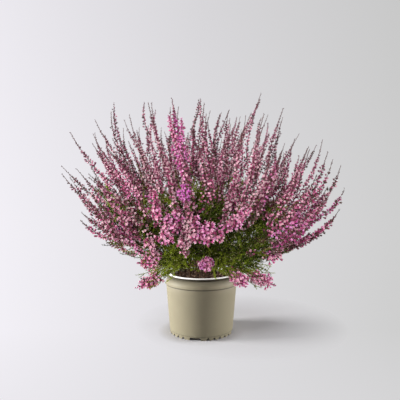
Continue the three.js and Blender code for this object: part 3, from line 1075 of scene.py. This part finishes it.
# Twigs of an outer shoot that hang out over the rim, under the crown's edge.
def skirtTwigs(index):
    rule = leafy["skirt"]
    x, y = shootAt(index)
    spread, heading = np.hypot(x, y), np.arctan2(y, x)
    if spread < rule["shootsFrom"]:
        return []
    made = []
    for number in range(int(rule["count"] * (1 - rule["fewerInFront"] * frontness(spread, heading)))):
        turn = heading + radians(rule["turn"]) * between(-1, 1, index, 600 + number)
        out = between(*rule["spread"], index, 640 + number)
        start = between(*rule["start"], index, 680 + number)
        end = start + between(*rule["length"], index, 720 + number)
        branch = {"x": out * cos(turn) - x, "y": out * sin(turn) - y, "opening": rule["opening"]}
        made.append({**branch, "start": start, "from": start, "end": end, "kind": "skirt"})
    return made


# Short side sprigs along a twig of the skirt.
def sprigLines(points, shade, key):
    rule = leafy["sprigs"]
    share, rise = shares(4), np.array(rule["rise"])
    made = []
    for number in range(rule["count"]):
        place = 1 + number * (len(points) - 2) // rule["count"]
        onward = unit(points[place + 1] - points[place])
        turn = 2 * pi * chance(key, 910 + number)
        aside = unit(np.cross(onward, (cos(turn), sin(turn), 0.3)))
        way = rule["onward"] * onward + rule["aside"] * aside + rise
        reach = between(*rule["reach"], key, 920 + number)
        sprig = points[place] + reach * (way * share + rise * share**2)
        tone = shade + between(*rule["tones"], key, 930 + number)
        made.append(leafyLine(sprig, leafy["skirt"]["size"], tone, rule["radius"]))
    return made


# Green tufts that fill the hollows between the flower spikes, and the thin places of the crown. Their greens
# are deeper than the twigs', partly painted shade for the hollows.
def tuftLines(index, tone):
    rule = leafy["tufts"]
    full = (np.linspace(0, 1, 8) > rule["bare"]) * 1.0
    made = []
    for key, (*place, reach) in enumerate(hollows + rule["places"]):
        if nearestShoot(tuftForks, place) != index:
            continue
        for number in range(int(rule["perReach"] * reach)):
            salt = 800 + 20 * key + number
            fork = branchPoints(index, straight, between(*rule["from"], index, salt), 1, 2)[0]
            across = rule["across"] * between(-1, 1, index, salt + 300)
            up = between(*rule["above"], index, salt + 600)
            behind = between(*rule["behind"], index, salt + 900)
            tip = place + reach * np.array((across, behind, up))
            points = arched(fork, (fork + tip) / 2 - rule["sag"], tip, 8)
            shade = tone + between(*rule["tones"], index, salt)
            made.append(leafyLine(points, rule["size"], shade, leafy["twigRadius"], full))
    return made


def leafyLines(index):
    size, thick = leafy["size"], leafy["twigRadius"]
    tone = between(*leafy["tone"], index, 90)
    points = rooted(branchPoints(index, straight, 0, leafy["stemEnd"], 16))
    full = (np.linspace(-0.07, leafy["stemEnd"], len(points)) > leafy["leavesStart"]) * 1.0
    lines = [leafyLine(points, size, tone, leafy["stemRadius"], full)]
    for branch in branchesOf(index + 0.5, leafy["mainTwigs"]):
        points = branchPoints(index, branch, branch["from"], branch["end"], 10)
        lines.append(leafyLine(points, size, tone, thick))
    for number, branch in enumerate(leafyTwigs(index) + skirtTwigs(index)):
        rule = leafy[branch["kind"]]
        points, shade = fineBranch(index, number, branch, rule, tone)
        lines.append(leafyLine(points, rule["size"], shade, thick))
        if branch["kind"] == "skirt":
            lines += sprigLines(points, shade, index + 0.01 * number)
    return lines + tuftLines(index, tone)


counts = []
for index in range(growth["shoots"]):
    counts.append(dressedPiece("heather_greens_", "leafy_stem_", index, leafyLines(index), greens, 300))
print("leafy stems:", sum(counts), "triangles, most in one", max(counts))


# Low sprays over the rim. Each has its heading, its length and its lean, in degrees and millimetres.
low = {
    "sprays": [
        (-172, 74, 84),
        (-151, 84, 112),
        (-84, 48, 66),
        (-46, 66, 108),
        (-15, 92, 110),
        (98, 90, 106),
    ],
    "circle": 38,
    "steps": 20,
    "bendEnd": 34,
    "bloomFrom": 0.6,
    "bareLength": 37,
    "stemRadius": 1.5,
    "flowerTone": (0.4, 0.62),
    "middleMore": 9,
    "size": 1.05,
    "stalked": 0.6,
    "budding": 0.7,
    "width": 21,
    "sideSpikes": 11,
    "sideLength": (11, 18),
    "leafTone": (0.35, 0.7),
    "twigs": 22,
    "twigStart": 4,
    "twigsEndBefore": 12,
    "twigLength": (12, 24),
    "twigTone": (-0.3, 0.4),
    "twigWander": 9,
}


def lowPoints(heading, lean, start, end, count):
    distances = np.linspace(start, end, count)

    def leanOf(share):
        return radians(lean) * smooth(share * distances / low["bendEnd"])

    return climbed(low["circle"], 1, radians(heading), distances, low["steps"], leanOf)


# A rounded head of short spikes that open out from the end of the stem.
def lowFlowerLines(index, heading, length, lean, bloomFrom):
    tone = between(*low["flowerTone"], index, 110)
    middle = lowPoints(heading, lean, bloomFrom, length + low["middleMore"], 9)
    return clusterLines(middle, low["width"], low["sideLength"], low["sideSpikes"], tone, index, low)


def lowLeafyLines(index, heading, lean, bloomFrom):
    tone = between(*low["leafTone"], index, 150)
    points = rooted(lowPoints(heading, lean, 0, bloomFrom + 4, 14))
    lines = [leafyLine(points, 1.0, tone, low["stemRadius"], (np.arange(len(points)) > 2) * 1.0)]
    for number in range(low["twigs"]):
        start = between(low["twigStart"], bloomFrom - low["twigsEndBefore"], index, 160 + number)
        end = start + between(*low["twigLength"], index, 200 + number)
        points = wandered(lowPoints(heading, lean, start, end, 6), index + 0.21 * number, low["twigWander"])
        shade = tone + between(*low["twigTone"], index, 240 + number)
        lines.append(leafyLine(points, leafy["twigs"]["size"], shade, leafy["twigRadius"]))
    return lines


counts = []
for index, (heading, length, lean) in enumerate(low["sprays"]):
    bloomFrom = max(low["bloomFrom"] * length, low["bareLength"])
    lines = lowFlowerLines(index, heading, length, lean, bloomFrom)
    counts.append(dressedPiece("heather_low_spray_", "low_flower_spray_", index, lines, flowers, 500))
    lines = lowLeafyLines(index, heading, lean, bloomFrom)
    counts.append(dressedPiece("heather_low_greens_", "low_leafy_stem_", index, lines, greens, 500))
print("low sprays:", sum(counts), "triangles")


# The peat, in millimetres. Its wall has a radius and a height for each ring below its edge.
peat = {
    "edge": 51.2,
    "rings": 22,
    "sides": 96,
    "wall": [(57.6, 82.4), (51.1, 6.9)],
    "lumps": 1.1,
    "clods": 1.6,
    "crumbSize": 1.5,
    "crumbsPerSquareMetre": 210000,
    "fibreLength": 5.5,
    "fibresPerSquareMetre": 60000,
    "strewnAbove": 0.6,
    "scales": (0.45, 1.5),
    "fibreTilt": 0.12,
    "seed": 41,
}
peatColours = {
    "dark": (0.012, 0.007, 0.005, 1),
    "brown": (0.125, 0.068, 0.042, 1),
    "pale": (0.46, 0.31, 0.22, 1),
    "lumpSize": 0.004,
    "grainSize": 0.0009,
    "grainDepth": 0.0008,
}


# Wide lumps, and clods that fade out at the edge.
def peatTop(x, y):
    spread = np.hypot(x, y) / peat["edge"]
    lump = sin(x * 0.41 + 1.3) * cos(y * 0.47) + 0.6 * sin(x * 0.83 - y * 0.71)
    clod = noise.fractal(Vector((x, y, 0)) * 0.22, 0.9, 2.1, 4) * peat["clods"]
    return peatHeight(spread) + peat["lumps"] * lump / 1.6 + clod * (1 - smooth((spread - 0.8) / 0.2))


def peatMesh():
    profile = [(peat["edge"] * ring / peat["rings"], peatTop) for ring in range(peat["rings"] + 1)]
    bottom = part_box("peat")[0][2] / millimetre
    return turnedMesh("peat_block", [*profile, *peat["wall"], (0, bottom)], peat["sides"])


def crumbShape():
    ring = [(1.3, 0.1, 0), (0.1, 1.1, 0.2), (-1.2, 0.2, -0.1), (0, -1, 0.1)]
    corners = np.array([(0, 0.1, -0.8), *ring, (0.2, 0.1, 0.9)]) * peat["crumbSize"]
    low, *ring, high = corners.tolist()
    return spindle("crumb", low, ring, high, [0.5] * 6, range(6))


def fibreShape():
    long = peat["fibreLength"]
    ring = [(0, x, y) for x, y, _ in circle(0.06 * long, 0, 3)]
    return spindle("fibre", (-long / 2, 0, 0), ring, (long / 2, 0.1 * long, 0), [1.0] * 5)


# Crumbs and fibres strewn over the faces that look up.
def peatRecipe(values):
    recipe = Recipe("crumbly peat", values)
    given = recipe.given
    upward = recipe.axes(recipe.node("GeometryNodeInputNormal"))[2]
    parts = [recipe.painted(given["Geometry"], given["Soil"])]
    kinds = (("Crumb", "Crumbs", 1.0), ("Fibre", "Fibres", peat["fibreTilt"]))
    for number, (thing, density, tilt) in enumerate(kinds):
        sown = {0: given["Geometry"], "Selection": upward > peat["strewnAbove"], "Density": given[density]}
        sown["Seed"] = given["Seed"] + number
        strewn = recipe.node("GeometryNodeDistributePointsOnFaces", values=sown)
        salt = 10 * number
        x, y, z = (recipe.random(-pi, pi, salt + axis) for axis in range(3))
        rotation = recipe.tilted({0: x * tilt, 1: y * tilt, 2: z})
        shaded = recipe.stored(strewn, "shade", recipe.random(0.0, 1.0, salt + 5))
        scale = recipe.random(*peat["scales"], salt + 6)
        things = recipe.copies(shaded, True, given[thing], rotation, scale)
        parts.append(recipe.painted(things, given["Soil"]))
    return recipe.done(parts)


def peatFinish():
    finish = Finish("peat", {"Specular IOR Level": 0.2})
    petal, shade = finish.along("petal"), finish.along("shade")
    coarse, fine = (finish.grain(peatColours[name], 4, 0.7) for name in ("lumpSize", "grainSize"))
    stops = [(0.25, peatColours["dark"]), (0.7, peatColours["brown"])]
    dark = finish.ramp(0.6 * coarse + 0.5 * shade * petal, stops)
    light = finish.spread(fine, 0.6, 0.72) + finish.spread(shade * petal, 0.3, 0.9)
    colours = finish.mixed(light, dark, peatColours["pale"])
    return finish.surface(colours, 0.8 + 0.2 * fine, fine, peatColours["grainDepth"])


peatValues = {
    "Crumb": crumbShape(),
    "Crumbs": float(peat["crumbsPerSquareMetre"]),
    "Fibre": fibreShape(),
    "Fibres": float(peat["fibresPerSquareMetre"]),
    "Seed": peat["seed"],
    "Soil": peatFinish(),
}
peatCount = makePiece("heather_peat", peatMesh(), peatRecipe(peatValues), peatValues, "peat", "peat")
print("peat:", peatCount, "triangles")


# The pot, in millimetres and degrees. Slots and nicks have a width, a height and a slope.
pot = {
    "sides": 108,
    "footRadius": 52.4,
    "footHeight": 6,
    "bodyBottom": 53,
    "bodyTop": 59.2,
    "shoulder": 60,
    "shoulderHeight": 80.4,
    "shoulderCurve": 2.6,
    "neck": 52.4,
    "neckHeight": 93.5,
    "lipMiddle": (52.7, 95.75),
    "lipSize": (1.9, 1.75),
    "wall": 1.6,
    "clearance": 5,
    "boss": 16,
    "drains": 6,
    "drainRadius": 4,
    "drainCircle": 36,
    "slots": 4,
    "slotSize": (17, 4.2, 0.3),
    "slotHeading": -101,
    "placesBetween": 7,
    "nickSize": (1.8, 3.8, 0.6),
    "creaseAngle": 35,
}
# Heights of the lip's painted highlight and of the painted shade lines are in metres: from where to where
# each fades in, and out again. A line's last value is its strength.
potColours = {
    "body": (0.283, 0.253, 0.168, 1),
    "shade": (0.257, 0.227, 0.149, 1),
    # The lip's near-white colour is a painted highlight.
    "lipHighlight": (0.92, 0.90, 0.88, 1),
    "lipHighlightFrom": (0.0955, 0.0961),
    # The dark colour of the painted shade in the collar and foot grooves and in the recess under the lip.
    "paintedShade": (0.04, 0.035, 0.026, 1),
    "collar": (0.0789, 0.0796, 0.0802, 0.0808, 0.95),
    "foot": (0.0051, 0.0057, 0.0059, 0.0065, 0.65),
    "neck": (0.0850, 0.0935, 0.0955, 0.0960, 0.8),
    "cloudSize": 0.02,
    "grainSize": 0.0006,
    "grainDepth": 0.00004,
}


def bodyRadius(height):
    share = (height - pot["footHeight"]) / (pot["shoulderHeight"] - pot["footHeight"])
    return pot["bodyBottom"] + (pot["bodyTop"] - pot["bodyBottom"]) * share


# The shoulder's radius from its bottom, share 0, to the neck, share 1.
def shoulderPoint(share, inset=0):
    radius = pot["shoulder"] - (pot["shoulder"] - pot["neck"]) * share ** pot["shoulderCurve"] - inset
    return radius, pot["shoulderHeight"] + (pot["neckHeight"] - pot["shoulderHeight"]) * share


# The wall's outline: base dish, foot ring, body, collar, shoulder, neck, lip, and the inside back down.
def potProfile():
    wall, foot, seam, boss = pot["wall"], pot["footRadius"], pot["shoulderHeight"], pot["boss"]
    clearance, footHeight, neck = pot["clearance"], pot["footHeight"], pot["neck"]
    points = [(0, 0), (boss, 0), (boss + 3, clearance), (foot - wall - 0.2, clearance)]
    points += [(foot - wall, 0.2), (foot - wall + 0.2, 0), (foot - 0.3, 0), (foot, 0.3)]
    points += [(foot + 0.2, footHeight - 0.7), (foot + 0.25, footHeight - 0.3)]
    points.append((pot["bodyBottom"], footHeight))
    points += [(bodyRadius(height), height) for height in np.linspace(12, seam - 1.2, 8)]
    points += [(pot["bodyTop"] - 0.3, seam - 0.7), (pot["bodyTop"] - 0.2, seam - 0.3)]
    points.append((pot["shoulder"] - 0.15, seam))
    points += [shoulderPoint(share) for share in (0.04, 0.15, 0.3, 0.45, 0.6, 0.72, 0.8, 0.86)]
    points += [(neck + 0.3, pot["neckHeight"] - 1.6), (neck - 0.2, pot["neckHeight"] - 1.2)]
    (middle, height), (wide, high) = pot["lipMiddle"], pot["lipSize"]
    for turn in range(-70, 151, 20):
        points.append((middle + wide * cos(radians(turn)), height + high * sin(radians(turn))))
    points += [shoulderPoint(1, wall), (neck - 1.4, 92.2), (neck - 1, 90.9)]
    points += [shoulderPoint(share, wall) for share in (0.72, 0.6, 0.3)]
    floor = clearance + wall
    return [*points, (bodyRadius(floor) - wall, floor), (boss + 2.1, floor), (boss - 0.9, wall), (0, wall)]


# A notch's cutter at +X, with a long way through the wall and sloping sides.
def notchCutter(name, width, height, slope):
    near, far = pot["footRadius"] - 3 * pot["wall"], pot["footRadius"] + 2 * pot["wall"]
    wide = width / 2 + slope * height
    outline = [(-wide, -1), (wide, -1), (width / 2, height), (-width / 2, height)]
    vertices = [(out, across, up) for out in (near, far) for across, up in outline]
    faces = [(3, 2, 1, 0), (4, 5, 6, 7), (0, 1, 5, 4), (1, 2, 6, 5), (2, 3, 7, 6), (3, 0, 4, 7)]
    return bpy.data.objects.new(name, meshOf(name, vertices, faces))


def drainCutter():
    radius, bottom, top = pot["drainRadius"], pot["clearance"] - 2, pot["clearance"] + 2 * pot["wall"]
    mesh = turnedMesh("drain", [(0, bottom), (radius, bottom), (radius, top), (0, top)], 24, fromTop=False)
    for vertex in mesh.vertices:
        vertex.co.x += pot["drainCircle"] * millimetre
    return bpy.data.objects.new("drain", mesh)


# Slots, nicks and drains are set round the axis and cut out of the turned shell. The places between two
# slots have a nick each, except the first and the last.
def potRecipe(values):
    recipe = Recipe("nursery pot", values)
    given = recipe.given
    index = recipe.node("GeometryNodeInputIndex")

    def ringed(cutter, count, selection, heading):
        points = recipe.node("GeometryNodePoints", values={"Count": count})
        rotation = recipe.tilted({"Z": index / count * (2 * pi) + heading})
        return recipe.copies(points, selection, cutter, rotation)

    apart = given["Places Between"]
    cycle = apart + 1
    inCycle = recipe.maths("MODULO", index, cycle)
    places = given["Slots"] * cycle
    cutters = [
        ringed(given["Slot"], places, inCycle < 0.5, given["Heading"]),
        ringed(given["Nick"], places, (inCycle > 1.5) * (inCycle < apart - 0.5), given["Heading"]),
        ringed(given["Drain"], given["Drains"], True, 0.0),
    ]
    settings = {"operation": "DIFFERENCE", "solver": "EXACT"}
    cut = recipe.node("GeometryNodeMeshBoolean", settings, {"Mesh 1": given["Geometry"], "Mesh 2": cutters})
    sharp = recipe.node("GeometryNodeInputMeshEdgeAngle") > radians(pot["creaseAngle"])
    flat = {0: cut, "Selection": sharp, "Shade Smooth": False}
    creased = recipe.node("GeometryNodeSetShadeSmooth", {"domain": "EDGE"}, flat)
    real = recipe.node("GeometryNodeRealizeInstances", values={0: creased})
    return recipe.done([recipe.painted(real, given["Plastic"])])


# The lip is paler, a painted highlight, and soft dark lines of painted shade lie in the grooves at the
# collar and the foot and under the lip at the neck.
def potFinish():
    finish = Finish("moulded plastic", {"Specular IOR Level": 0.3})
    height = finish.height()

    # A soft dark line of painted shade between two heights.
    def shadeBand(start, full, last, end, strength):
        return strength * (finish.spread(height, start, full) * finish.spread(height, end, last))

    cloud, fine = finish.grain(potColours["cloudSize"], 3), finish.grain(potColours["grainSize"], 2)
    body = finish.mixed(cloud, potColours["body"], potColours["shade"])
    # Painted highlight: the top of the lip is far paler than the body.
    lipHighlighted = finish.faded(height, potColours["lipHighlightFrom"], body, potColours["lipHighlight"])
    # Painted shade in the collar and foot grooves and under the lip.
    collar, foot, neck = (shadeBand(*potColours[name]) for name in ("collar", "foot", "neck"))
    withShadeLines = finish.mixed(collar + foot + neck, lipHighlighted, potColours["paintedShade"])
    rough = 0.48 + 0.12 * cloud + 0.1 * fine
    return finish.surface(withShadeLines, rough, fine, potColours["grainDepth"], 0.6)


potValues = {
    "Slot": notchCutter("slot", *pot["slotSize"]),
    "Nick": notchCutter("nick", *pot["nickSize"]),
    "Drain": drainCutter(),
    "Slots": pot["slots"],
    "Places Between": pot["placesBetween"],
    "Drains": pot["drains"],
    "Heading": radians(pot["slotHeading"]),
    "Plastic": potFinish(),
}
shell = turnedMesh("nursery_pot", potProfile(), pot["sides"], fromTop=False)
potCount = makePiece("nursery_pot", shell, potRecipe(potValues), potValues, "pot", "pot")
print("pot:", potCount, "triangles")


# The floor turns up into a wall all round, in millimetres.
stage = {
    "floorRadius": 2200,
    "cove": 1200,
    "coveSteps": 12,
    "wall": 1200,
    "sides": 96,
}
# The paper's colours from left to right as seen from the fan's middle, lighter on the left than on the right
# as a painted fall-off of the light, and its lit patch, in metres.
paper = {
    "lit": (0.55, 0.545, 0.56, 1),
    "left": (0.89, 0.87, 0.92, 1),
    "middle": (0.735, 0.725, 0.75, 1),
    "right": (0.62, 0.62, 0.62, 1),
    "potEdge": (0.056, 0.074),
    "litMiddle": (0.07, 0.06),
    "litRadius": 0.05,
    "fadedRadius": 0.19,
    "fanDistance": 0.66,
    "fanWidth": 0.51,
    "dimmed": (0.0, 2.2, 0.0, 0.07),
}


# Plain paper, lit near the plant. Further off it has a glow that lights nothing: painted light, lighter on
# the left than on the right and a little darker up the wall.
def paperFinish():
    fixed = {"Base Color": paper["lit"], "Roughness": 0.9, "Specular IOR Level": 0.05}
    finish = Finish("studio paper", fixed)
    across, deep, up = finish.axes(finish.place())
    fan, width = paper["fanDistance"], paper["fanWidth"]

    def far(aside, beyond):
        return (aside * aside + beyond * beyond) ** 0.5

    behind = finish.maths("MAXIMUM", finish.maths("MAXIMUM", deep, 0.0), -1.0 * deep - fan)
    # Painted light: the glow falls off from left to right.
    stops = [(0.0, paper["left"]), (0.5, paper["middle"]), (1.0, paper["right"])]
    colours = finish.ramp(finish.spread(across / (behind + fan), -width, width), stops)
    # Painted fall-off: a little darker higher up the wall.
    dimmed = finish.faded(up, paper["dimmed"], colours, (0, 0, 0, 1))
    glow = finish.node("ShaderNodeEmission", values={"Color": dimmed})
    away = far(across - paper["litMiddle"][0], deep - paper["litMiddle"][1])
    unlit = finish.spread(away, paper["litRadius"], paper["fadedRadius"])
    beside = finish.spread(far(across, deep), *paper["potEdge"])
    seen = finish.node("ShaderNodeLightPath", output="Is Camera Ray")
    both = finish.node("ShaderNodeMixShader", values={0: unlit * beside * seen, 2: glow})
    finish.tree.links.new(finish.shader.outputs[0], both.socket.node.inputs[1])
    finish.feed(finish.tree.nodes["Material Output"].inputs["Surface"], both)
    return finish.material


def makeStage():
    radius, cove, steps = stage["floorRadius"], stage["cove"], stage["coveSteps"]
    turns = [step / steps * pi / 2 for step in range(1, steps + 1)]
    profile = [(0, 0), (0.5 * radius, 0), (radius, 0)]
    profile += [(radius + cove * sin(turn), cove * (1 - cos(turn))) for turn in turns]
    profile.append((radius + cove, cove + stage["wall"]))
    mesh = turnedMesh("studio_floor", profile, stage["sides"], closed=False)
    mesh.materials.append(paperFinish())
    floorPiece = bpy.data.objects.new("studio_floor", mesh)
    floorPiece.visible_shadow = False
    scene.collection.objects.link(floorPiece)
    groundPieces.objects.link(floorPiece)


def placed(name, data, place, rotation):
    thing = bpy.data.objects.new(name, data)
    thing.location = place
    thing.rotation_euler = rotation
    scene.collection.objects.link(thing)
    return thing


# The camera looks level at the front. Places are in metres.
view = {"lens": 35.23, "sensor": 36, "place": (-0.00225, -0.6626, 0.2199)}


def makeCamera():
    data = bpy.data.cameras.new("camera")
    data.lens = view["lens"]
    data.sensor_width = view["sensor"]
    bpy.context.scene.camera = placed("camera", data, view["place"], (pi / 2, 0, 0))


# Each light is a square that reaches the pieces of one collection. The crown doesn't block those of the pot.
groundLight = {"reaches": groundPieces, "blockers": rimPieces}
rimLight = {"reaches": rimPieces, "blockers": rimPieces}
plantLight = {"reaches": plantPieces, "blockers": None}
lights = {
    "left": {"place": (-2.35, -0.06, 0.72), "size": 0.8, "power": 130, **groundLight},
    "right": {"place": (2.33, 0.22, 0.72), "size": 0.8, "power": 60, **groundLight},
    "rim": {"place": (0.2, -0.5, 2.2), "size": 0.5, "power": 10, **rimLight},
    "plant left": {"place": (-2.3, -0.5, 0.9), "size": 0.8, "power": 45.5, **plantLight},
    "plant right": {"place": (2.3, -0.3, 0.9), "size": 0.8, "power": 30.5, **plantLight},
    "plant top": {"place": (-0.1, 0.0, 2.1), "size": 0.7, "power": 12, **plantLight},
    "plant front": {"place": (-0.5, -1.9, 0.55), "size": 0.35, "power": 23.5, **plantLight},
    "plant back": {"place": (0.3, 1.9, 0.8), "size": 0.5, "power": 14, **plantLight},
}
lightTarget = Vector((0, 0, 0.2))
lightColour = (1.0, 0.995, 0.99)
world = {"Color": (0.90, 0.90, 0.93, 1), "Strength": 0.015}


def makeLights():
    for name, light in lights.items():
        data = bpy.data.lights.new(name, "AREA")
        data.size = light["size"]
        data.energy = light["power"]
        data.color = lightColour
        rotation = (lightTarget - Vector(light["place"])).to_track_quat("-Z", "Y").to_euler()
        lamp = placed(name, data, light["place"], rotation)
        lamp.light_linking.receiver_collection = light["reaches"]
        lamp.light_linking.blocker_collection = light["blockers"]
    studio = bpy.data.worlds.new("studio")
    studio.use_nodes = True
    for socket, value in world.items():
        studio.node_tree.nodes["Background"].inputs[socket].default_value = value
    scene.world = studio
    scene.view_settings.view_transform = "Standard"


makeStage()
makeCamera()
makeLights()
print("stage, camera and lights made")
